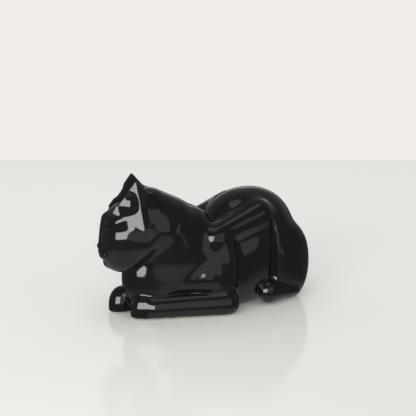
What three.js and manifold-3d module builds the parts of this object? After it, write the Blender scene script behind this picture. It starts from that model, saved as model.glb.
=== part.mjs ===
// Crouching ceramic cat: one hollow slip-cast body, a push-in stopper in its base
// and four self-adhesive pads under it.
// Millimetres, +Z up. The cat faces -Y, +X is its left side. Z = 0 is the table.
import * as THREE from 'three';
import { MarchingCubes } from 'three/addons/objects/MarchingCubes.js';
import { mergeVertices } from 'three/addons/utils/BufferGeometryUtils.js';
import Module from 'manifold-3d';

const wasm = await Module();
wasm.setup();

// ---- Finished size of the cat, stretched from the maquette that is sculpted below ----
const WIDTH = 103.5;
const LENGTH = 236;
const HEIGHT = 147;
const MAQUETTE = { width: 103.5, length: 236, height: 147 };

// ---- Casting ----
const WALL = 5.5;
const FLOOR_WALL = 6;

// ---- Pads under the base ----
const PAD_RADIUS = 5.5;
const PAD_THICKNESS = 1.2;
const ADHESIVE_FILM = 0.3;
const PAD_ALONG_FOREARM = 0.62;

// ---- Hole in the base and its stopper ----
const HOLE_RADIUS = 9;
const STOPPER_Y = 58;
const PLUG_CLEARANCE = 0.3;
const PLUG_REACH = 4;
const FLANGE_WIDTH = 3.2;
const FLANGE_THICKNESS = 2;
const FLANGE_CLEARANCE = 0.5;
const RIB_COUNT = 3;
const RIB_DEPTH = 0.8;
const GRIP_RADIUS = 3;
const GRIP_DEPTH = 1.6;
const GRIP_LIP = 1;
const FLANGE_EDGE = 0.5;
const PLUG_LEAD = 1;
const RIB_FOOT = 0.3;
const RIB_WAIST = 0.15;

// ---- Fineness of the polygonised surfaces ----
const BODY_CELL = 6.8;
const CAVITY_CELL = 12;
const ROUND_SIDES = 32;

const BASE_Z = PAD_THICKNESS + ADHESIVE_FILM;
const STRETCH = new THREE.Vector3(
  WIDTH / MAQUETTE.width,
  LENGTH / MAQUETTE.length,
  HEIGHT / MAQUETTE.height,
);
const LEAST_STRETCH = Math.min(STRETCH.x, STRETCH.y, STRETCH.z);

// =====================================================================================
// Sculpting: a mass is a function of a point that gives its signed distance, negative
// inside. Masses are blended together as clay is, each with its own softness.
// =====================================================================================
const toVector = (values) => new THREE.Vector3(...values);

// Ellipsoid, optionally turned about Z by turn degrees. squareness above 2 fills out
// its shoulders towards a box.
function ball(centre, radii, turn = 0, squareness = 2) {
  const [cx, cy, cz] = centre;
  const angle = THREE.MathUtils.degToRad(turn);
  const cos = Math.cos(angle);
  const sin = Math.sin(angle);
  return (point) => {
    const dx = point.x - cx;
    const dy = point.y - cy;
    const local = [dx * cos + dy * sin, dy * cos - dx * sin, point.z - cz];
    const scaled = local.map((value, axis) => Math.abs(value / radii[axis]) + 1e-6);
    const powers = scaled.map((value) => value ** squareness);
    const reach = (powers[0] + powers[1] + powers[2]) ** (1 / squareness);
    const slope = scaled.map((value, axis) => (value / reach) ** (squareness - 1) / radii[axis]);
    return (reach - 1) / Math.hypot(...slope);
  };
}

// Tapered rod with round ends. thinness squashes its width along X.
function limb(from, to, fromRadius, toRadius, thinness = 1) {
  const a = toVector(from);
  const b = toVector(to);
  const ax = a.x / thinness;
  const spanX = (b.x - a.x) / thinness;
  const spanY = b.y - a.y;
  const spanZ = b.z - a.z;
  const spanSquared = spanX ** 2 + spanY ** 2 + spanZ ** 2;
  return (point) => {
    const px = point.x / thinness - ax;
    const py = point.y - a.y;
    const pz = point.z - a.z;
    const along = (px * spanX + py * spanY + pz * spanZ) / spanSquared;
    const t = THREE.MathUtils.clamp(along, 0, 1);
    const off = Math.hypot(px - t * spanX, py - t * spanY, pz - t * spanZ);
    return (off - (fromRadius + (toRadius - fromRadius) * t)) * thinness;
  };
}

// Smooth union of two distances: softness is how wide the fillet between them is.
function blend(a, b, softness) {
  const near = Math.max(softness - Math.abs(a - b), 0) / softness;
  return Math.min(a, b) - (near ** 3 * softness) / 6;
}

// ---- Head placement: the head is turned to the cat's right ----
const HEAD = new THREE.Vector3(-8, -93, 90);
const HEAD_TURN = -25;

function onHead(x, y, z) {
  const angle = THREE.MathUtils.degToRad(HEAD_TURN);
  return new THREE.Vector3(x, y, z).applyAxisAngle(new THREE.Vector3(0, 0, 1), angle).add(HEAD);
}

// ---- Forearms: elbow to paw, on the table ----
const FOREARMS = [
  { name: 'left', elbow: [36, 0, 12], paw: [6, -67, 11], elbowRadius: 16, pawRadius: 14 },
  { name: 'right', elbow: [-36, 0, 11], paw: [-35, -76, 11], elbowRadius: 16, pawRadius: 14 },
];
const HAUNCH = { x: 26, y: 85, z: 39, radii: [20, 32, 45] };

// ---- The masses, in the order they are laid on: [mass, softness of its join] ----
function bodyMasses() {
  const masses = [
    [ball([0, 32, 44], [38, 64, 50], 0, 2.6), 1],
    [ball([0, 30, 16], [26, 70, 30]), 8],
    [ball([0, 55, 60], [42, 57, 61], 0, 2.2), 10],
    [ball([-11, -49, 38], [30, 41, 49], -10), 8],
    [ball([0, -34, 70], [34, 42, 44], 0, 2.3), 10],
    [limb([0, -49, 94], [-3, -69, 106], 31, 29), 10],
    [ball([0, 82, 40], [30, 31, 50]), 10],
  ];
  for (const side of [1, -1]) {
    masses.push([limb([side * 28, -7, 81], [side * 26, 50, 96], 12, 17), 9]);
    masses.push([ball([side * 25, -10, 46], [15, 28, 44], side * -30, 2.4), 12]);
    masses.push([limb([side * 21, 69, 76], [side * 23, 80, 48], 25, 26, 0.8), 12]);
    masses.push([ball([side * HAUNCH.x, HAUNCH.y, HAUNCH.z], HAUNCH.radii, 0, 2.2), 12]);
    masses.push([limb([side * 38, 58, 14], [side * 42, 92, 10], 13, 4, 0.8), 1.5]);
  }
  masses.push([limb([8, -52, 36], [27, -18, 40], 13, 15), 10]);
  masses.push([limb([-26, -52, 36], [-28, -18, 40], 13, 15), 10]);
  masses.push([limb([-20, -48, 14], [-20, 10, 14], 13, 13), 6]);
  for (const arm of FOREARMS) {
    masses.push([limb(arm.elbow, arm.paw, arm.elbowRadius, arm.pawRadius), 2]);
  }
  masses.push([ball([1, -73, 7], [13, 17, 20], -23, 2.4), 3]);
  masses.push([ball([-32, -81, 6], [12, 16, 21], 0, 2.3), 3]);
  masses.push([ball(onHead(0, 4, 0), [27, 28, 33], HEAD_TURN, 2.1), 5]);
  masses.push([ball(onHead(0, 3, -4), [28, 23, 19], HEAD_TURN, 3), 8]);
  masses.push([ball(onHead(0, -3, -20), [19, 19, 19], HEAD_TURN, 2.2), 8]);
  masses.push([limb(onHead(9, 0, -20), onHead(11, 36, 4), 15, 12), 12]);
  masses.push([limb(onHead(-9, 0, -20), onHead(-11, 36, 4), 15, 12), 12]);
  masses.push([ball(onHead(0, -11, -15), [12, 15, 11], HEAD_TURN), 8]);
  masses.push([limb(onHead(0, -17, 16), onHead(0, -22, -7), 6, 4), 5]);
  masses.push([ball(onHead(6, -19, -19), [8, 7.5, 6.5], HEAD_TURN), 3]);
  masses.push([ball(onHead(-6, -19, -19), [8, 7.5, 6.5], HEAD_TURN), 3]);
  masses.push([ball(onHead(0, -15, -29), [8.5, 7, 6.5], HEAD_TURN), 3]);
  masses.push([ball(onHead(0, -25, -12), [4.5, 3, 3.2], HEAD_TURN), 1.5]);
  return masses;
}

const BODY_MASSES = bodyMasses();

function bodyDistance(point) {
  let distance = Infinity;
  for (const [mass, softness] of BODY_MASSES) {
    distance = distance === Infinity ? mass(point) : blend(distance, mass(point), softness);
  }
  return distance;
}

// =====================================================================================
// From distances to solids
// =====================================================================================

// Closed triangle mesh of the surface where distance is 0, sampled on a cube of
// cells around centre. Points are handed to distance in maquette millimetres and the
// mesh comes back stretched to the finished size.
function polygonise(distance, centre, cell, cellsAcross) {
  const grid = new MarchingCubes(cellsAcross, new THREE.MeshStandardMaterial(), false, false, 60000);
  const half = cellsAcross / 2;
  const point = new THREE.Vector3();
  for (let k = 0; k < cellsAcross; k++) {
    for (let j = 0; j < cellsAcross; j++) {
      for (let i = 0; i < cellsAcross; i++) {
        point.set(i - half, j - half, k - half).multiplyScalar(cell).add(centre);
        grid.field[i + cellsAcross * (j + cellsAcross * k)] = -distance(point);
      }
    }
  }
  grid.isolation = 0;
  grid.update();
  const corners = grid.positionArray.slice(0, grid.count * 3);
  const surface = new THREE.BufferGeometry();
  surface.setAttribute('position', new THREE.BufferAttribute(corners, 3));
  surface.scale(half * cell, half * cell, half * cell);
  surface.translate(centre.x, centre.y, centre.z);
  surface.scale(STRETCH.x, STRETCH.y, STRETCH.z);
  return surface;
}

// Shared vertices are merged and triangles that shrank to a line are dropped.
function toSolid(geometry) {
  const bare = geometry.clone();
  bare.deleteAttribute('normal');
  bare.deleteAttribute('uv');
  const merged = mergeVertices(bare, 1e-3);
  const triangles = [];
  for (let i = 0; i < merged.index.count; i += 3) {
    const [a, b, c] = [0, 1, 2].map((step) => merged.index.getX(i + step));
    if (a !== b && b !== c && c !== a) {
      triangles.push(a, b, c);
    }
  }
  return new wasm.Manifold(new wasm.Mesh({
    numProp: 3,
    vertProperties: new Float32Array(merged.attributes.position.array),
    triVerts: new Uint32Array(triangles),
  }));
}

function toGeometry(solid) {
  const mesh = solid.getMesh();
  const geometry = new THREE.BufferGeometry();
  geometry.setAttribute('position', new THREE.BufferAttribute(mesh.vertProperties, 3));
  geometry.setIndex(new THREE.BufferAttribute(mesh.triVerts, 1));
  geometry.computeVertexNormals();
  return geometry;
}

// Upright cylinder standing on z.
function disc(radius, z, height) {
  const geometry = new THREE.CylinderGeometry(radius, radius, height, ROUND_SIDES);
  geometry.rotateX(Math.PI / 2);
  geometry.translate(0, 0, z + height / 2);
  return geometry;
}

// =====================================================================================
// Pieces
// =====================================================================================
const RECESS_DEPTH = FLANGE_THICKNESS + FLANGE_CLEARANCE;
const RECESS_RADIUS = HOLE_RADIUS + FLANGE_WIDTH + FLANGE_CLEARANCE;
const BODY_CENTRE = new THREE.Vector3(0, 0, 70);

// Ear: the tight skin round a tip and three feet, so a pyramid with rounded edges. A
// round scoop hollows the face that listens. Places are on the cat's left of the head.
const EAR = {
  corners: [[19.5, 10, 54.5], [12, -9, 23], [23, 12, 10], [8, 22, 28]],
  cornerRadius: 2.5,
  scoopCentre: [37, -7, 37],
  scoopRadius: 21,
};

function makeEar(side) {
  const placed = ([x, y, z], radius, sides) => {
    const geometry = new THREE.SphereGeometry(radius, sides, sides / 2);
    const place = onHead(side * x, y, z);
    geometry.translate(place.x, place.y, place.z);
    geometry.scale(STRETCH.x, STRETCH.y, STRETCH.z);
    return toSolid(geometry);
  };
  const corners = EAR.corners.map((corner) => placed(corner, EAR.cornerRadius, ROUND_SIDES / 2));
  const pyramid = wasm.Manifold.hull(corners);
  return pyramid.subtract(placed(EAR.scoopCentre, EAR.scoopRadius, ROUND_SIDES));
}

function makeCeramicBody() {
  let casting = toSolid(polygonise(bodyDistance, BODY_CENTRE, BODY_CELL, 64));
  for (const side of [1, -1]) {
    casting = casting.add(makeEar(side));
  }
  const cavityFloor = (BASE_Z + FLOOR_WALL) / STRETCH.z;
  const cavityDistance = (point) =>
    Math.max(bodyDistance(point) + WALL / LEAST_STRETCH, cavityFloor - point.z);
  casting = casting.subtract(toSolid(polygonise(cavityDistance, BODY_CENTRE, CAVITY_CELL, 32)));

  const below = new THREE.BoxGeometry(WIDTH * 2, LENGTH * 2, HEIGHT);
  below.translate(0, 0, BASE_Z - HEIGHT / 2);
  const hole = disc(HOLE_RADIUS, 0, BASE_Z + FLOOR_WALL + WALL);
  const recess = disc(RECESS_RADIUS, 0, BASE_Z + RECESS_DEPTH);
  for (const cut of [hole, recess]) {
    cut.translate(0, STOPPER_Y * STRETCH.y, 0);
  }
  for (const cut of [below, hole, recess]) {
    casting = casting.subtract(toSolid(cut));
  }
  return toGeometry(casting);
}

// Turned profile: flange, ribbed plug and a finger hollow under the flange.
function makeStopper() {
  const plugRadius = HOLE_RADIUS - PLUG_CLEARANCE;
  const flangeRadius = HOLE_RADIUS + FLANGE_WIDTH;
  const flangeTop = FLANGE_THICKNESS;
  const plugTop = flangeTop + FLOOR_WALL - RECESS_DEPTH + PLUG_REACH;
  const ribPitch = (plugTop - flangeTop) / (RIB_COUNT + 1);
  const profile = [
    [0, GRIP_DEPTH],
    [GRIP_RADIUS, GRIP_DEPTH],
    [GRIP_RADIUS + GRIP_LIP, 0],
    [flangeRadius - FLANGE_EDGE, 0],
    [flangeRadius, FLANGE_EDGE],
    [flangeRadius, flangeTop],
    [plugRadius, flangeTop],
  ];
  for (let rib = 1; rib <= RIB_COUNT; rib++) {
    const z = flangeTop + rib * ribPitch;
    profile.push([plugRadius, z - ribPitch * RIB_FOOT]);
    profile.push([plugRadius - RIB_DEPTH, z - ribPitch * RIB_WAIST]);
    profile.push([plugRadius - RIB_DEPTH, z + ribPitch * RIB_WAIST]);
    profile.push([plugRadius, z + ribPitch * RIB_FOOT]);
  }
  profile.push([plugRadius - PLUG_LEAD, plugTop]);
  profile.push([0, plugTop]);
  const points = profile.map(([radius, z]) => new THREE.Vector2(radius, z));
  const geometry = new THREE.LatheGeometry(points, ROUND_SIDES);
  geometry.rotateX(Math.PI / 2);
  return toGeometry(toSolid(geometry));
}

const makePad = () => toGeometry(toSolid(disc(PAD_RADIUS, 0, PAD_THICKNESS)));

// ---- Pad places: under each forearm and under each haunch ----
const PAD_PLACES = FOREARMS.map((arm) => {
  const place = toVector(arm.elbow).lerp(toVector(arm.paw), PAD_ALONG_FOREARM);
  return { name: `pad_front_${arm.name}`, x: place.x, y: place.y };
});
PAD_PLACES.push({ name: 'pad_rear_left', x: HAUNCH.x, y: HAUNCH.y });
PAD_PLACES.push({ name: 'pad_rear_right', x: -HAUNCH.x, y: HAUNCH.y });

// =====================================================================================
// Assembly, moved so that the origin is the bottom centre of the whole cat
// =====================================================================================
const glazedBlack = new THREE.MeshStandardMaterial({ color: 0x0d0d0e, roughness: 0.08, metalness: 0 });
const rubberGrey = new THREE.MeshStandardMaterial({ color: 0x2c2b2a, roughness: 0.6, metalness: 0 });
const padRubber = new THREE.MeshStandardMaterial({ color: 0x1c1b1b, roughness: 0.75, metalness: 0 });

const cat = new THREE.Group();

const body = new THREE.Mesh(makeCeramicBody(), glazedBlack);
body.name = 'ceramic_body';
cat.add(body);

const stopper = new THREE.Mesh(makeStopper(), rubberGrey);
stopper.name = 'stopper';
stopper.position.set(0, STOPPER_Y * STRETCH.y, BASE_Z);
cat.add(stopper);

for (const place of PAD_PLACES) {
  const pad = new THREE.Mesh(makePad(), padRubber);
  pad.name = place.name;
  pad.position.set(place.x * STRETCH.x, place.y * STRETCH.y, 0);
  cat.add(pad);
}

const middle = new THREE.Box3().setFromObject(body).getCenter(new THREE.Vector3());
cat.position.set(-middle.x, -middle.y, 0);

export default cat;
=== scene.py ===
# %% [markdown]
# # A crouching ceramic cat in black glaze
# The real cat is one hollow slip-cast shell with a shiny black glaze, a rubber stopper
# in its base and four rubber pads. The measured frame already has every piece at its
# size and place. This lesson makes the skin that is seen, from lumps of clay up.

# %% Load the measured frame
import math

import bpy
import numpy as np
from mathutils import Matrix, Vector


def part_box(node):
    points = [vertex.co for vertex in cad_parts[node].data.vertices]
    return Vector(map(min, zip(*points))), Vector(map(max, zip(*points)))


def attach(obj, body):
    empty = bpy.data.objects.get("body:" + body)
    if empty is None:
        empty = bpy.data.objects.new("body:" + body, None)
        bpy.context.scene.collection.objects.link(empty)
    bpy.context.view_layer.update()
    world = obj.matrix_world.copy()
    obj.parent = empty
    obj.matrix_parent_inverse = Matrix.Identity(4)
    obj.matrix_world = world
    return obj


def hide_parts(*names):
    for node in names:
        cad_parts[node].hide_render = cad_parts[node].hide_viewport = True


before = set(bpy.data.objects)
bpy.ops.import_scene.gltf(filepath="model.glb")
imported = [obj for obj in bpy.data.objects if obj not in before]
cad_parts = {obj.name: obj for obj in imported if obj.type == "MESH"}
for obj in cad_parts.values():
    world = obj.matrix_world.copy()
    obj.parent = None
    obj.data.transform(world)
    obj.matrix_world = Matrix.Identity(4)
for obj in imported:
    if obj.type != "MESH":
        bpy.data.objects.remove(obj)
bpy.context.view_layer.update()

MM = 0.001
print("frame holds", sorted(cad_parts))

# %% [markdown]
# ## Small helpers
# An operator acts on whatever is selected, so each step starts by letting go of
# everything and picking up one object. A modifier is applied as soon as it is set.

# %% Helpers for picking up objects and applying modifiers
def pick(*objects):
    """Selects only these objects, the last one active."""
    bpy.ops.object.select_all(action="DESELECT")
    for thing in objects:
        thing.select_set(True)
    bpy.context.view_layer.objects.active = objects[-1]


def apply_modifier(thing, kind, **settings):
    """Adds one modifier, sets it up and applies it."""
    pick(thing)
    modifier = thing.modifiers.new(kind.title(), kind)
    for key, value in settings.items():
        setattr(modifier, key, value)
    bpy.ops.object.modifier_apply(modifier=modifier.name)


def settle(thing):
    """Moves an object's place, turn and size into its mesh."""
    pick(thing)
    bpy.ops.object.transform_apply(location=True, rotation=True, scale=True)


def cut(thing, cutter):
    """Cuts the cutter's shape out of the thing and throws the cutter away."""
    apply_modifier(thing, "BOOLEAN", object=cutter, operation="DIFFERENCE", solver="MANIFOLD")
    bpy.data.objects.remove(cutter)


def vertex_array(mesh):
    """The mesh's vertices as an array of rows."""
    flat = np.empty(len(mesh.vertices) * 3, dtype=np.float32)
    mesh.vertices.foreach_get("co", flat)
    return flat.reshape(-1, 3)


def set_vertices(mesh, points):
    """Writes an array of rows back as the mesh's vertices."""
    mesh.vertices.foreach_set("co", np.ascontiguousarray(points, dtype=np.float32).ravel())
    mesh.update()


print("helpers ready")

# %% [markdown]
# ## The maquette
# A sculptor starts a crouching cat as lumps: chest, belly, rump, two haunches, the
# shoulders, a thick neck, the head and the two forearms laid on the table. Each lump is
# an egg or a tapered rod, in millimetres, with the softness of its join to the others.
# The cat faces -Y, and its head is turned to its own right. Thin rods are pressed in
# afterwards as grooves: behind the shoulder, before the haunch, for the closed eyes, the
# line of the jaw and the mouth.

# %% Lumps of the maquette
HEAD = np.array([-8.0, -93.0, 90.0])
HEAD_TURN = math.radians(-25)


def on_head(x, y, z):
    """A place on the head, as (x, y, z) from the middle of the skull."""
    cos, sin = math.cos(HEAD_TURN), math.sin(HEAD_TURN)
    return (HEAD[0] + x * cos - y * sin, HEAD[1] + x * sin + y * cos, HEAD[2] + z)


def egg(centre, radii, softness, turn=0.0, squareness=2.0):
    return {"kind": "egg", "centre": centre, "radii": radii, "softness": softness,
            "turn": turn, "squareness": squareness}


def rod(start, end, start_radius, end_radius, softness, thinness=1.0):
    return {"kind": "rod", "start": start, "end": end, "radii": (start_radius, end_radius),
            "softness": softness, "thinness": thinness}


lumps = [
    egg((0, 32, 44), (38, 64, 50), 1, 0, 2.6),
    egg((0, 30, 16), (26, 70, 30), 8),
    egg((0, 55, 60), (42, 57, 61), 10, 0, 2.2),
    egg((-11, -49, 38), (30, 41, 49), 8, math.radians(-10)),
    egg((0, -34, 70), (34, 42, 44), 10, 0, 2.3),
    rod((0, -49, 94), (-3, -69, 106), 31, 29, 10),
    egg((0, 82, 40), (30, 31, 50), 10),
]
for side in (1, -1):
    lumps += [
        rod((side * 28, -7, 81), (side * 26, 50, 96), 12, 17, 9),
        egg((side * 25, -10, 46), (15, 28, 44), 12, math.radians(side * -30), 2.4),
        rod((side * 21, 69, 76), (side * 23, 80, 48), 25, 26, 12, 0.8),
        egg((side * 26, 85, 39), (20, 32, 45), 12, 0, 2.2),
        rod((side * 38, 58, 14), (side * 42, 92, 10), 13, 4, 1.5, 0.8),
    ]
lumps += [
    rod((8, -52, 36), (27, -18, 40), 13, 15, 10),
    rod((-26, -52, 36), (-28, -18, 40), 13, 15, 10),
    rod((-20, -48, 14), (-20, 10, 14), 13, 13, 6),
    rod((36, 0, 12), (6, -67, 11), 16, 14, 2),
    egg((1, -73, 7), (13, 17, 20), 3, math.radians(-23), 2.4),
    rod((-36, 0, 11), (-35, -76, 11), 16, 14, 2),
    egg((-32, -81, 6), (12, 16, 21), 3, 0, 2.3),
    egg(on_head(0, 4, 0), (27, 28, 33), 5, HEAD_TURN, 2.1),
    egg(on_head(0, 3, -4), (28, 23, 19), 8, HEAD_TURN, 3),
    egg(on_head(0, -3, -20), (19, 19, 19), 8, HEAD_TURN, 2.2),
    rod(on_head(9, 0, -20), on_head(11, 36, 4), 15, 12, 12),
    rod(on_head(-9, 0, -20), on_head(-11, 36, 4), 15, 12, 12),
    egg(on_head(0, -11, -15), (12, 15, 11), 8, HEAD_TURN),
    rod(on_head(0, -17, 16), on_head(0, -22, -7), 6, 4, 5),
    egg(on_head(6, -19, -19), (8, 7.5, 6.5), 3, HEAD_TURN),
    egg(on_head(-6, -19, -19), (8, 7.5, 6.5), 3, HEAD_TURN),
    egg(on_head(0, -15, -29), (8.5, 7, 6.5), 3, HEAD_TURN),
    egg(on_head(0, -25, -12), (4.5, 3, 3.2), 1.5, HEAD_TURN),
]
grooves = []
for side in (1, -1):
    grooves += [
        rod((side * 46, 14, 84), (side * 47, 20, 12), 1, 5, 2),
        rod((side * 42, 59, 94), (side * 43, 60, 30), 3, 5, 3),
        rod(on_head(side * 23, -13, 15), on_head(side * 26, 4, 22), 2.5, 2.5, 2.5),
        rod(on_head(side * 10, -24.5, 8), on_head(side * 23, -14, 14), 2.2, 2.6, 2.5),
        rod(on_head(side * 0.5, -27.6, -21), on_head(side * 11, -22, -25), 1.2, 1.2, 1.2),
    ]
grooves.append(rod(on_head(0, -29, -15), on_head(0, -28, -21), 1.1, 1.1, 1.2))
print(len(lumps), "lumps")

# %% [markdown]
# ## How far a point is from the clay
# Pressing lumps together leaves sharp valleys, and a sculptor's thumb rounds them off.
# To do that evenly, each lump gives a distance from its surface, negative inside, and
# two distances are blended so that the valley fills by the softness of the join.

# %% Distances from lumps and their blend
def egg_distance(points, centre, radii, turn=0.0, squareness=2.0):
    cos, sin = math.cos(turn), math.sin(turn)
    offset = points - np.array(centre)
    local = np.stack((offset[:, 0] * cos + offset[:, 1] * sin,
                      offset[:, 1] * cos - offset[:, 0] * sin, offset[:, 2]), axis=1)
    scaled = np.abs(local / np.array(radii)) + 1e-6
    reach = (scaled ** squareness).sum(axis=1) ** (1 / squareness)
    steep = (scaled / reach[:, None]) ** (squareness - 1) / np.array(radii)
    return (reach - 1) / np.linalg.norm(steep, axis=1)


def rod_distance(points, start, end, radii, thinness=1.0):
    squash = np.array((1 / thinness, 1, 1))
    first, span = np.array(start) * squash, (np.array(end) - np.array(start)) * squash
    offset = points * squash - first
    along = np.clip(offset @ span / (span @ span), 0, 1)
    off = np.linalg.norm(offset - along[:, None] * span, axis=1)
    return (off - (radii[0] + (radii[1] - radii[0]) * along)) * thinness


def lump_distance(points, lump):
    if lump["kind"] == "egg":
        return egg_distance(points, lump["centre"], lump["radii"], lump["turn"],
                            lump["squareness"])
    return rod_distance(points, lump["start"], lump["end"], lump["radii"], lump["thinness"])


def blend(a, b, softness):
    """Union of two distances with a fillet as wide as softness."""
    near = np.maximum(softness - np.abs(a - b), 0) / softness
    return np.minimum(a, b) - near ** 3 * softness / 6


def carve(a, b, softness):
    """What is left of a once b is scooped out, with a rounded lip."""
    return -blend(-a, b, softness)


print("distance at the middle of the belly", lump_distance(np.zeros((1, 3)), lumps[0]))

# %% [markdown]
# ## Ears
# Each ear is a pyramid with three faces: one to the front and side that listens and is
# scooped hollow, one to the back, and one towards the other ear. A face is a flat plane
# through the tip and two feet, and the edges between the planes are rounded.

# %% Ear pyramids and their hollows
EAR_TIP = (20, 10, 60)
EAR_FRONT_FOOT = (14, -14, 28)
EAR_SIDE_FOOT = (32, 17, 12)
EAR_BACK_FOOT = (6, 30, 38)
EAR_MIDDLE = (17, 11, 34)
EAR_SINK = 4
EAR_ROUNDING = 3
EAR_JOIN = 5
SCOOP_RADIUS = 21
SCOOP_DEPTH = 3
SCOOP_MIDDLE = (20, 2, 35)


def ear_place(side, place):
    return np.array(on_head(side * place[0], place[1], place[2]))


def ear_faces(side):
    """Outward direction and one point of each face: listening, two more, and the sole."""
    tip, middle = ear_place(side, EAR_TIP), ear_place(side, EAR_MIDDLE)
    front, outer, back = [ear_place(side, foot)
                          for foot in (EAR_FRONT_FOOT, EAR_SIDE_FOOT, EAR_BACK_FOOT)]
    faces = []
    for first, second in ((front, outer), (outer, back), (back, front)):
        outward = np.cross(first - tip, second - tip)
        outward /= np.linalg.norm(outward)
        if (middle - tip) @ outward > 0:
            outward = -outward
        faces.append((outward, tip))
    sole = np.cross(outer - front, back - front)
    sole /= np.linalg.norm(sole)
    if (tip - front) @ sole > 0:
        sole = -sole
    faces.append((sole, front + sole * EAR_SINK))
    return faces


def ear_distances(points, side):
    """Distance to the pyramid and to the hollow of one ear."""
    faces = ear_faces(side)
    pyramid = (points - faces[-1][1]) @ faces[-1][0]
    for outward, on_face in faces[:-1]:
        pyramid = carve(pyramid, (on_face - points) @ outward, EAR_ROUNDING)
    scoop = ear_place(side, SCOOP_MIDDLE) + faces[0][0] * (SCOOP_RADIUS - SCOOP_DEPTH)
    return pyramid, np.linalg.norm(points - scoop, axis=1) - SCOOP_RADIUS


def clay_distance(points):
    """Distance from the whole cat before its base is cut flat."""
    points = points.astype(np.float64)
    distance = lump_distance(points, lumps[0])
    for lump in lumps[1:]:
        distance = blend(distance, lump_distance(points, lump), lump["softness"])
    for groove in grooves:
        distance = carve(distance, lump_distance(points, groove), groove["softness"])
    ears = [ear_distances(points, side) for side in (1, -1)]
    for pyramid, hollow in ears:
        distance = blend(distance, carve(pyramid, hollow, 2), EAR_JOIN)
    return distance


print("ears ready")

# %% [markdown]
# ## Rough clay
# Every egg is a sphere sized and turned into place, and every rod is the tight skin
# round two spheres. Joined and remeshed as one lump of fine, even squares, they give
# a single closed skin to work on.

# %% Press the lumps together
GRAIN = 1.25


def press_egg(centre, radii, turn=0.0):
    bpy.ops.object.select_all(action="DESELECT")
    bpy.ops.mesh.primitive_uv_sphere_add(segments=48, ring_count=24, radius=1, location=centre,
                                         rotation=(0, 0, turn), scale=radii)
    return bpy.context.object


def tight_skin(eggs):
    """Joins the eggs under one convex skin."""
    pick(*eggs)
    bpy.ops.object.join()
    bpy.ops.object.mode_set(mode="EDIT")
    bpy.ops.mesh.select_all(action="SELECT")
    bpy.ops.mesh.convex_hull()
    bpy.ops.object.mode_set(mode="OBJECT")
    return bpy.context.object


def press_rod(start, end, radii, thinness=1.0):
    return tight_skin([press_egg(place, (radius * thinness, radius, radius))
                       for place, radius in zip((start, end), radii)])


def press_ear(side):
    """The tight skin round the tip and the feet of an ear."""
    ball = (EAR_ROUNDING, EAR_ROUNDING, EAR_ROUNDING)
    return tight_skin([press_egg(tuple(ear_place(side, place)), ball)
                       for place in (EAR_TIP, EAR_FRONT_FOOT, EAR_SIDE_FOOT, EAR_BACK_FOOT)])


pressed = [press_ear(side) for side in (1, -1)]
for lump in lumps:
    if lump["kind"] == "egg":
        pressed.append(press_egg(lump["centre"], lump["radii"], lump["turn"]))
    else:
        pressed.append(press_rod(lump["start"], lump["end"], lump["radii"], lump["thinness"]))
pick(*pressed)
bpy.ops.object.join()
glazed_body = bpy.context.object
glazed_body.name = glazed_body.data.name = "glazed_body"
settle(glazed_body)
apply_modifier(glazed_body, "REMESH", mode="VOXEL", voxel_size=GRAIN)
print("rough clay has", len(glazed_body.data.vertices), "points")

# %% [markdown]
# ## Thumbing the joins smooth
# Each point of the rough skin slides along the slope of the distance until it lies on
# the blended clay. A light smoothing between the slides keeps the squares even. The
# base is pressed on a flat board, which leaves a small rounded edge all round it.

# %% Slide the skin onto the blended clay
body_low, body_high = (np.array(corner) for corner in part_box("ceramic_body"))
BASE_Z = body_low[2] / MM
BASE_EDGE = 1.6


def cat_distance(points):
    return carve(clay_distance(points), points[:, 2].astype(np.float64) - BASE_Z, BASE_EDGE)


def slope_of(distance, points, step=0.15):
    """Gradient of a distance by small steps both ways along each axis."""
    columns = []
    for axis in range(3):
        shift = np.zeros(3)
        shift[axis] = step
        columns.append((distance(points + shift) - distance(points - shift)) / (2 * step))
    return np.stack(columns, axis=1)


def slide_onto(mesh, distance, rounds=3, longest=2.5):
    points = vertex_array(mesh).astype(np.float64)
    for _ in range(rounds):
        slope = slope_of(distance, points)
        steepness = np.maximum((slope ** 2).sum(axis=1), 0.2)
        push = np.clip(distance(points) / steepness, -longest, longest)
        points -= push[:, None] * slope
    set_vertices(mesh, points)
    return float(np.abs(distance(points)).mean())


for softening in (6, 2, 1):
    slide_onto(glazed_body.data, cat_distance)
    apply_modifier(glazed_body, "SMOOTH", factor=0.5, iterations=softening)
left_over = slide_onto(glazed_body.data, cat_distance)
print("skin lies within", round(left_over, 3), "mm of the clay on average")

# %% [markdown]
# ## Into the measured frame
# The maquette is stretched by a fraction of a percent so that it fills the box of the
# measured body, and from millimetres to metres.

# %% Fit the skin to the measured body's box
skin = vertex_array(glazed_body.data).astype(np.float64)
maquette_low, maquette_high = skin.min(axis=0), skin.max(axis=0)
fit = (body_high - body_low) / (maquette_high - maquette_low)


def to_frame(points):
    return body_low + (points - maquette_low) * fit


def to_maquette(points):
    return maquette_low + (points - body_low) / fit


set_vertices(glazed_body.data, to_frame(skin))
print("stretch", (fit / MM).round(4))

# %% [markdown]
# ## Hollow inside
# Liquid clay is poured into a plaster mould, left until a wall has set, and the rest is
# drained through the hole in the base. So inside there is a smaller cat: the same lumps,
# each thinner by the wall, with a flat floor over the base.

# %% Pour out the middle
WALL = 5.5
FLOOR_WALL = 6.0
THINNEST_HOLLOW = WALL * 3
INSIDE_GRAIN = 4.0

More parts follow.
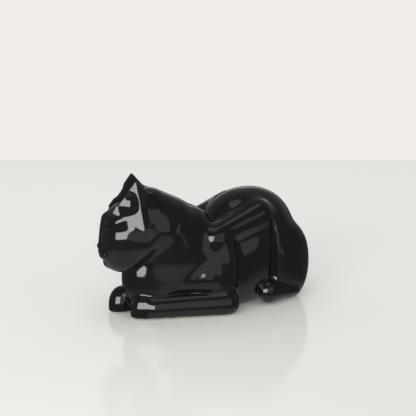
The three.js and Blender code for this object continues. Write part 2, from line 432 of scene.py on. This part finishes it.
poured = []
for lump in lumps:
    if min(lump["radii"]) <= THINNEST_HOLLOW:
        continue
    if lump["kind"] == "egg":
        shrunk = tuple(radius - WALL for radius in lump["radii"])
        poured.append(press_egg(lump["centre"], shrunk, lump["turn"]))
    else:
        shrunk = tuple(radius - WALL / lump["thinness"] for radius in lump["radii"])
        poured.append(press_rod(lump["start"], lump["end"], shrunk, lump["thinness"]))
pick(*poured)
bpy.ops.object.join()
inside = bpy.context.object
settle(inside)
apply_modifier(inside, "REMESH", mode="VOXEL", voxel_size=INSIDE_GRAIN)
apply_modifier(inside, "SMOOTH", factor=0.5, iterations=3)
pick(inside)
bpy.ops.object.mode_set(mode="EDIT")
bpy.ops.mesh.select_all(action="SELECT")
bpy.ops.mesh.bisect(plane_co=(0, 0, BASE_Z + FLOOR_WALL), plane_no=(0, 0, 1),
                    clear_inner=True, use_fill=True)
bpy.ops.object.mode_set(mode="OBJECT")
set_vertices(inside.data, to_frame(vertex_array(inside.data)))
cut(glazed_body, inside)
print("hollow body has", len(glazed_body.data.vertices), "points")

# %% [markdown]
# ## The hole in the base
# The drain hole is reamed round, and a shallow seat round it takes the stopper's
# flange, so that nothing stands below the base. Both take their place from the stopper.

# %% Ream the hole and turn its seat
stopper_low, stopper_high = (Vector(corner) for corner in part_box("stopper"))
stopper_middle = (stopper_low + stopper_high) / 2
FLANGE_RADIUS = (stopper_high.x - stopper_low.x) / 2
SEAT_CLEARANCE = 0.5 * MM
SEAT_DEPTH = 2.5 * MM
HOLE_RADIUS = 9.0 * MM
ROUND = 96


def peg(radius, low, high, top_radius=None):
    """Upright round cutter under the stopper's middle, tapered if top_radius is given."""
    bpy.ops.object.select_all(action="DESELECT")
    bpy.ops.mesh.primitive_cone_add(
        vertices=ROUND, radius1=radius, radius2=radius if top_radius is None else top_radius,
        depth=high - low, location=(stopper_middle.x, stopper_middle.y, (low + high) / 2))
    settle(bpy.context.object)
    return bpy.context.object


base = body_low[2]
cut(glazed_body, peg(HOLE_RADIUS, base - 2 * MM, base + (FLOOR_WALL + WALL) * MM))
cut(glazed_body, peg(FLANGE_RADIUS + SEAT_CLEARANCE, base - 2 * MM, base + SEAT_DEPTH))
print("seat depth", round(SEAT_DEPTH / MM, 2), "mm")

# %% [markdown]
# ## Marks for the finish
# Glaze runs thin over sharp edges and pools in valleys, and no glaze goes inside. The
# finish needs to know where that is, so every point of the body stores how sharply the
# clay bends there, and whether it is on the bare inside.

# %% Store the bend and the bare inside on the points
BEND_STEP = 1.6
BARE_DEPTH = 1.0


def bend_of(points):
    """How sharply the clay bends: positive over ridges, negative in valleys."""
    total = -6 * clay_distance(points)
    for axis in range(3):
        for way in (1, -1):
            shift = np.zeros(3)
            shift[axis] = way * BEND_STEP
            total += clay_distance(points + shift)
    return total / BEND_STEP ** 2


def store(mesh, name, values):
    attribute = mesh.attributes.new(name, "FLOAT", "POINT")
    attribute.data.foreach_set("value", np.ascontiguousarray(values, dtype=np.float32))


body_points = to_maquette(vertex_array(glazed_body.data).astype(np.float64))
is_inside = -cat_distance(body_points) > BARE_DEPTH
store(glazed_body.data, "bend", bend_of(body_points))
store(glazed_body.data, "inside", is_inside.astype(np.float32))
pick(glazed_body)
bpy.ops.object.shade_smooth_by_angle(angle=math.radians(50))
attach(glazed_body, "cat")
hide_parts("ceramic_body")
print("points marked bare:", int(is_inside.sum()))

# %% [markdown]
# ## The stopper
# A soft rubber plug: a flange with a rounded lip and a finger dimple under it, and a
# ribbed stem that grips the hole. It is turned from one round blank by insetting and
# extruding its end faces, as a lathe would cut steps.

# %% Helpers for shaping an end face
def select_end(thing, upwards):
    """In edit mode, selects the face that looks straight up or down."""
    bpy.ops.object.mode_set(mode="OBJECT")
    way = 1 if upwards else -1
    flat_faces = [face for face in thing.data.polygons if face.normal.z * way > 0.9]
    for face in thing.data.polygons:
        face.select = False
    for vertex in thing.data.vertices:
        vertex.select = False
    for edge in thing.data.edges:
        edge.select = False
    max(flat_faces, key=lambda face: face.center.z * way).select = True
    bpy.ops.object.mode_set(mode="EDIT")
    bpy.ops.mesh.select_mode(type="FACE")


def step_out(rise, shrink):
    """Extrudes the selected end by rise and scales it about the stopper's axis."""
    bpy.ops.mesh.extrude_region_move(TRANSFORM_OT_translate={"value": (0, 0, rise)})
    bpy.ops.transform.resize(value=(shrink, shrink, 1), center_override=stopper_middle)


# %% Turn the stopper
PLUG_RADIUS = HOLE_RADIUS - 0.3 * MM
FLANGE_THICKNESS = 2.0 * MM
RIBS = 3
RIB_DEPTH = 0.8 * MM

flange_top = stopper_low.z + FLANGE_THICKNESS
stem_length = stopper_high.z - flange_top
rib_pitch = stem_length / (RIBS + 1)
stopper_skin = peg(FLANGE_RADIUS, stopper_low.z, flange_top)
stopper_skin.name = stopper_skin.data.name = "stopper_skin"
select_end(stopper_skin, True)
bpy.ops.mesh.inset(thickness=FLANGE_RADIUS - PLUG_RADIUS)
step_out(rib_pitch * 0.7, 1)
waist = (PLUG_RADIUS - RIB_DEPTH) / PLUG_RADIUS
for rib in range(RIBS):
    step_out(rib_pitch * 0.15, waist)
    step_out(rib_pitch * 0.3, 1)
    step_out(rib_pitch * 0.15, 1 / waist)
    step_out(rib_pitch * (0.4 if rib < RIBS - 1 else 0.2), 1)
left = stopper_high.z - flange_top - rib_pitch * (0.7 + 0.6 * RIBS + 0.4 * (RIBS - 1) + 0.2)
step_out(left, 0.88)
select_end(stopper_skin, False)
bpy.ops.mesh.inset(thickness=FLANGE_RADIUS * 0.62)
step_out(1.2 * MM, 0.8)
bpy.ops.object.mode_set(mode="OBJECT")
apply_modifier(stopper_skin, "BEVEL", width=0.35 * MM, segments=3, limit_method="ANGLE",
               angle_limit=math.radians(30))
pick(stopper_skin)
bpy.ops.object.shade_smooth_by_angle(angle=math.radians(40))
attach(stopper_skin, "stopper")
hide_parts("stopper")
print("stopper faces:", len(stopper_skin.data.polygons))

# %% [markdown]
# ## The four pads
# Pressed rubber discs with a rounded rim and a shallow dish in the bottom, so that they
# grip the table by a ring. Each is made the same way in its own place, with its own mesh.

# %% Press the pads
PAD_NAMES = ("pad_front_left", "pad_front_right", "pad_rear_left", "pad_rear_right")


def make_pad(name):
    low, high = (Vector(corner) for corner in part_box(name))
    middle = (low + high) / 2
    radius = (high.x - low.x) / 2
    bpy.ops.object.select_all(action="DESELECT")
    bpy.ops.mesh.primitive_cylinder_add(vertices=64, radius=radius, depth=high.z - low.z,
                                        location=middle)
    pad = bpy.context.object
    settle(pad)
    pad.name = pad.data.name = name + "_skin"
    select_end(pad, False)
    bpy.ops.mesh.inset(thickness=radius * 0.28)
    bpy.ops.mesh.inset(thickness=radius * 0.12, depth=-0.3 * MM)
    bpy.ops.object.mode_set(mode="OBJECT")
    apply_modifier(pad, "BEVEL", width=0.25 * MM, segments=3, limit_method="ANGLE",
                   angle_limit=math.radians(25))
    pick(pad)
    bpy.ops.object.shade_smooth_by_angle(angle=math.radians(40))
    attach(pad, "cat")
    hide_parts(name)
    return pad


pad_skins = [make_pad(name) for name in PAD_NAMES]
print("pads:", [pad.name for pad in pad_skins])

# %% [markdown]
# ## Writing finishes as sums
# A finish is a small network of nodes. A socket is wrapped so that plain sums on it add
# the Math nodes, and every other node comes from one method.

# %% Sums on sockets
class Wire:
    """An output socket that can be added, multiplied and so on with numbers or wires."""

    def __init__(self, finish, socket):
        self.finish = finish
        self.socket = socket

    def math(self, operation, first, second):
        return self.finish.node("ShaderNodeMath", {"operation": operation}, {0: first, 1: second})

    def __add__(self, other):
        return self.math("ADD", self, other)

    def __sub__(self, other):
        return self.math("SUBTRACT", self, other)

    def __rsub__(self, other):
        return self.math("SUBTRACT", other, self)

    def __mul__(self, other):
        return self.math("MULTIPLY", self, other)

    def clamped(self, low, high):
        """0 at low, 1 at high, straight between."""
        return self.finish.node("ShaderNodeMapRange", {}, {0: self, 1: low, 2: high})

    __radd__ = __add__
    __rmul__ = __mul__


class Finish:
    """A node material that ends in one Principled shader."""

    def __init__(self, name):
        self.material = bpy.data.materials.new(name)
        self.material.use_nodes = True
        self.nodes = self.material.node_tree.nodes
        self.links = self.material.node_tree.links
        self.shader = self.nodes["Principled BSDF"]

    def node(self, kind, settings, inputs, output=0):
        """Adds a node: its settings first, then its sockets' values or links."""
        made = self.nodes.new(kind)
        for key, value in settings.items():
            if key == "stops":
                ramp = made.color_ramp.elements
                while len(ramp) < len(value):
                    ramp.new(0.5)
                for element, (place, colour) in zip(ramp, value):
                    element.position = place
                    element.color = (*colour, 1)
            else:
                setattr(made, key, value)
        for key, value in inputs.items():
            self.fill(made.inputs[key], value)
        return Wire(self, made.outputs[output])

    def fill(self, socket, value):
        if isinstance(value, Wire):
            self.links.new(value.socket, socket)
        else:
            socket.default_value = value

    def place(self):
        return self.node("ShaderNodeTexCoord", {}, {}, "Object")

    def attribute(self, name):
        return self.node("ShaderNodeAttribute", {"attribute_name": name}, {}, "Fac")

    def noise(self, scale, detail=2.0, roughness=0.5):
        return self.node("ShaderNodeTexNoise", {}, {"Vector": self.place(), "Scale": scale,
                         "Detail": detail, "Roughness": roughness}, 0)

    def mix(self, factor, first, second):
        return self.node("ShaderNodeMix", {"data_type": "RGBA"},
                         {0: factor, 6: first, 7: second}, 2)

    def bump(self, height, distance, strength=1.0, onto=None):
        inputs = {"Height": height, "Distance": distance, "Strength": strength}
        if onto is not None:
            inputs["Normal"] = onto
        return self.node("ShaderNodeBump", {}, inputs)

    def finish(self, **sockets):
        for name, value in sockets.items():
            self.fill(self.shader.inputs[name.replace("_", " ")], value)
        return self.material


def dress(thing, material):
    thing.data.materials.clear()
    thing.data.materials.append(material)


print("finish helpers ready")

# %% [markdown]
# ## Black glaze over pale clay
# The glaze is a thick black glass: a deep black that turns to warm brown where it runs
# thin over an edge, with long soft waves and a finer orange peel in its surface. The
# foot is wiped before firing, so the base is bare pale clay with a wandering edge.

# %% The glaze
def make_glaze():
    glaze = Finish("black_glaze")
    ridge = glaze.attribute("bend").clamped(0.10, 0.42)
    valley = (glaze.attribute("bend") * -1).clamped(0.05, 0.5)
    cloud = glaze.noise(38, 3)
    speck = glaze.noise(900, 2).clamped(0.66, 0.74)
    thin = (ridge * (0.55 + 0.9 * cloud)).clamped(0.25, 0.95)
    black = glaze.mix(cloud, (0.0040, 0.0042, 0.0045, 1), (0.0068, 0.0068, 0.0070, 1))
    warm = glaze.mix(thin * 0.6, black, (0.017, 0.0145, 0.013, 1))
    pooled = glaze.mix(valley * 0.6, warm, (0.0028, 0.0028, 0.0030, 1))
    glossy = glaze.mix(speck * 0.35, pooled, (0.018, 0.017, 0.016, 1))

    height = glaze.node("ShaderNodeSeparateXYZ", {}, {0: glaze.place()}, "Z")
    wander = glaze.noise(160, 3)
    wiped = 1 - (height + 0.0012 * wander).clamped(base + 0.9 * MM, base + 1.3 * MM)
    cover = glaze.node("ShaderNodeMath", {"operation": "MAXIMUM"},
                       {0: wiped, 1: glaze.attribute("inside")})
    clay_grain = glaze.noise(700, 4, 0.7)
    clay = glaze.mix(clay_grain, (0.60, 0.54, 0.46, 1), (0.74, 0.69, 0.61, 1))
    colour = glaze.mix(cover, glossy, clay)
    roughness = (0.055 + 0.05 * glaze.noise(60, 3) + 0.05 * speck) * (1 - cover) + 0.82 * cover

    waves = glaze.noise(26, 1)
    peel = glaze.noise(170, 2)
    grain = clay_grain * cover
    soft = glaze.bump(waves, 0.0022, 0.10)
    fine = glaze.bump(peel, 0.00028, 0.10, soft)
    rough = glaze.bump(grain, 0.00015, 0.6, fine)
    return glaze.finish(Base_Color=colour, Roughness=roughness, Normal=rough,
                        Metallic=0.0, IOR=1.52)


dress(glazed_body, make_glaze())
print("glaze on", glazed_body.name)

# %% [markdown]
# ## Rubber
# The stopper and the pads are soft moulded rubber: dark, matt, a little mottled, with a
# fine grain from the mould and a dusting of clay in scattered patches.

# %% The two rubbers
def make_rubber(name, dark, light, grain_scale):
    rubber = Finish(name)
    mottle = rubber.noise(220, 4, 0.6)
    grain = rubber.noise(grain_scale, 3, 0.65)
    dust = (rubber.noise(90, 3) * mottle).clamped(0.30, 0.48)
    colour = rubber.mix(mottle, (*dark, 1), (*light, 1))
    dusted = rubber.mix(dust * 0.25, colour, (0.30, 0.28, 0.25, 1))
    roughness = 0.52 + 0.25 * mottle + 0.1 * dust
    return rubber.finish(Base_Color=dusted, Roughness=roughness, Metallic=0.0,
                         Normal=rubber.bump(grain, 0.00012, 0.5))


dress(stopper_skin, make_rubber("stopper_rubber", (0.030, 0.029, 0.028),
                                (0.052, 0.050, 0.047), 2600))
pad_rubber = make_rubber("pad_rubber", (0.014, 0.014, 0.015), (0.030, 0.030, 0.031), 3800)
for pad in pad_skins:
    dress(pad, pad_rubber)
print("rubber on the stopper and", len(pad_skins), "pads")

# %% [markdown]
# ## Table, wall and light
# A pale table that mirrors the cat a little, with painted shade in its colour that darkens
# it towards the camera, a paler wall beyond its far edge, and soft studio light. A black
# glaze shows only what it reflects, so the lamps are placed for their reflections: a
# softbox to the left of the camera, and a large dim panel beside it.

# %% Camera, table and wall
CAMERA_AT = Vector((0.9600, -0.6722, 0.3760))
CAMERA_AIM = Vector((-0.0059, 0.0106, 0.1026))


def face_towards(thing, target):
    thing.rotation_euler = (target - thing.location).to_track_quat("-Z", "Y").to_euler()


bpy.ops.object.select_all(action="DESELECT")
bpy.ops.object.camera_add(location=CAMERA_AT)
camera = bpy.context.object
camera.data.lens = 100
camera.data.sensor_width = 36
face_towards(camera, CAMERA_AIM)
bpy.context.scene.camera = camera
bpy.context.scene.view_settings.view_transform = "Standard"

sight = (CAMERA_AIM - CAMERA_AT)
sight.z = 0
sight.normalize()
across = Vector((-sight.y, sight.x, 0))
TABLE_FAR_EDGE = 0.83
TABLE_NEAR_EDGE = -3.0
TABLE_HALF_WIDTH = 3.0
# The table's colour runs from a darker tone near the camera to a paler one towards the wall:
# painted shade for the fall of light across the table.
NEAR_PAINTED_SHADE_TONE, PAINTED_SHADE_NEAR_END = (0.655, 0.665, 0.637, 1), -0.45
FAR_PAINTED_LIGHT_TONE, PAINTED_SHADE_FAR_END = (0.835, 0.848, 0.822, 1), 0.55


def stage_sheet(name, corners):
    mesh = bpy.data.meshes.new(name)
    mesh.from_pydata([tuple(corner) for corner in corners], [], [(0, 1, 2, 3)])
    sheet = bpy.data.objects.new(name, mesh)
    bpy.context.scene.collection.objects.link(sheet)
    return sheet


edge_middle = sight * TABLE_FAR_EDGE
near_middle = sight * TABLE_NEAR_EDGE
table = stage_sheet("table", [near_middle + across * TABLE_HALF_WIDTH,
                              near_middle - across * TABLE_HALF_WIDTH,
                              edge_middle - across * TABLE_HALF_WIDTH,
                              edge_middle + across * TABLE_HALF_WIDTH])
table.visible_glossy = False
# Painted shade: the table's base colour darkens towards the camera along the line of sight, with
# a faint wobble, in place of light falling off.
table_paint_and_shade = Finish("table_paint_and_shade")
table_x = table_paint_and_shade.node("ShaderNodeSeparateXYZ", {}, {0: table_paint_and_shade.place()}, "X")
table_y = table_paint_and_shade.node("ShaderNodeSeparateXYZ", {}, {0: table_paint_and_shade.place()}, "Y")
along_sight = table_x * sight.x + table_y * sight.y + 0.02 * table_paint_and_shade.noise(14, 2)
away = along_sight.clamped(PAINTED_SHADE_NEAR_END, PAINTED_SHADE_FAR_END)
table_finish = table_paint_and_shade.finish(Base_Color=table_paint_and_shade.mix(away, NEAR_PAINTED_SHADE_TONE, FAR_PAINTED_LIGHT_TONE),
                                  Roughness=0.10 + 0.05 * table_paint_and_shade.noise(30, 2), IOR=1.4)
table.data.materials.append(table_finish)
print("camera is", round((CAMERA_AT - CAMERA_AIM).length, 3), "m away")

# %% Lamps and the room
def softbox(name, azimuth, elevation, distance, width, height, power, target=(0, 0, 0.07)):
    """Area lamp placed round the camera's side of the cat, angles in degrees."""
    turn, tilt = math.radians(azimuth), math.radians(elevation)
    aim = Vector(target)
    away = Vector((math.sin(turn) * math.cos(tilt), -math.cos(turn) * math.cos(tilt),
                   math.sin(tilt)))
    data = bpy.data.lights.new(name, "AREA")
    data.shape = "RECTANGLE"
    data.size, data.size_y = width, height
    data.energy = power
    lamp = bpy.data.objects.new(name, data)
    lamp.location = aim + away * distance
    bpy.context.scene.collection.objects.link(lamp)
    face_towards(lamp, aim)
    return lamp


softbox("key_softbox", azimuth=36, elevation=9, distance=1.2, width=1.05, height=0.66, power=17)
softbox("broad_panel", azimuth=88, elevation=12, distance=2.4, width=2.2, height=2.0, power=7)
softbox("overhead", azimuth=55, elevation=80, distance=1.8, width=1.2, height=1.2, power=3)

# %% [markdown]
# The room is pale behind the cat and dark behind the camera, as in a studio where one
# wall is lit. The brightest patch of the wall is low and narrow, where the table mirrors
# it, and the rest of it is dim, so the glaze's outline stays dark. The table is lit
# evenly from all round.

# %% The room
WALL_COLOUR = (0.888, 0.855, 0.831, 1)
WALL_MIRRORED = (0.26, 0.25, 0.245, 1)
DARK_SIDE = (0.10, 0.105, 0.11, 1)
TABLE_BELOW = (0.44, 0.45, 0.44, 1)
SOFT_FILL = (0.80, 0.82, 0.80, 1)

# Each part of the room fades in from the first value to the second. A value is the height
# of a direction, or how far it points along the line of sight, both from -1 to 1.
WALL_SIDE = (0.15, 0.75)
ABOVE_TABLE = (0.0, 0.12)
PATCH_FOOT = (0.11, 0.17)
PATCH_TOP = (0.42, 0.32)
PATCH_SIDE = (0.88, 0.94)
STEEPLY_DOWN = (-0.42, -0.62)

room = bpy.data.worlds.new("room")
bpy.context.scene.world = room
room.use_nodes = True
room_nodes, room_links = room.node_tree.nodes, room.node_tree.links
path = room_nodes.new("ShaderNodeLightPath")
direction = room_nodes.new("ShaderNodeTexCoord")
towards_wall = room_nodes.new("ShaderNodeVectorMath")
towards_wall.operation = "DOT_PRODUCT"
towards_wall.inputs[1].default_value = sight
room_links.new(direction.outputs["Generated"], towards_wall.inputs[0])

upright = room_nodes.new("ShaderNodeSeparateXYZ")
room_links.new(direction.outputs["Generated"], upright.inputs[0])


def room_mix(factor, first, second):
    """Mixes two room colours, each a fixed colour or the result of another mix."""
    made = room_nodes.new("ShaderNodeMix")
    made.data_type = "RGBA"
    room_links.new(factor, made.inputs[0])
    for place, value in ((6, first), (7, second)):
        if isinstance(value, tuple):
            made.inputs[place].default_value = value
        else:
            room_links.new(value, made.inputs[place])
    return made.outputs[2]


def room_step(value, fade):
    """0 where value is at the first end of the fade, 1 where it is at the second."""
    made = room_nodes.new("ShaderNodeMapRange")
    made.inputs["From Min"].default_value, made.inputs["From Max"].default_value = fade
    room_links.new(value, made.inputs["Value"])
    return made.outputs["Result"]


def room_product(first, second):
    made = room_nodes.new("ShaderNodeMath")
    made.operation = "MULTIPLY"
    room_links.new(first, made.inputs[0])
    room_links.new(second, made.inputs[1])
    return made.outputs["Value"]


height, ahead = upright.outputs["Z"], towards_wall.outputs["Value"]
wall_part = room_product(room_step(ahead, WALL_SIDE), room_step(height, ABOVE_TABLE))
patch_band = room_product(room_step(height, PATCH_FOOT), room_step(height, PATCH_TOP))
patch = room_product(patch_band, room_step(ahead, PATCH_SIDE))
wall_seen = room_mix(patch, WALL_MIRRORED, WALL_COLOUR)
around = room_mix(wall_part, DARK_SIDE, wall_seen)
mirrored = room_mix(room_step(height, STEEPLY_DOWN), around, TABLE_BELOW)
lit = room_mix(path.outputs["Is Diffuse Ray"], mirrored, SOFT_FILL)
shown = room_mix(path.outputs["Is Camera Ray"], lit, WALL_COLOUR)
room_links.new(shown, room_nodes["Background"].inputs["Color"])
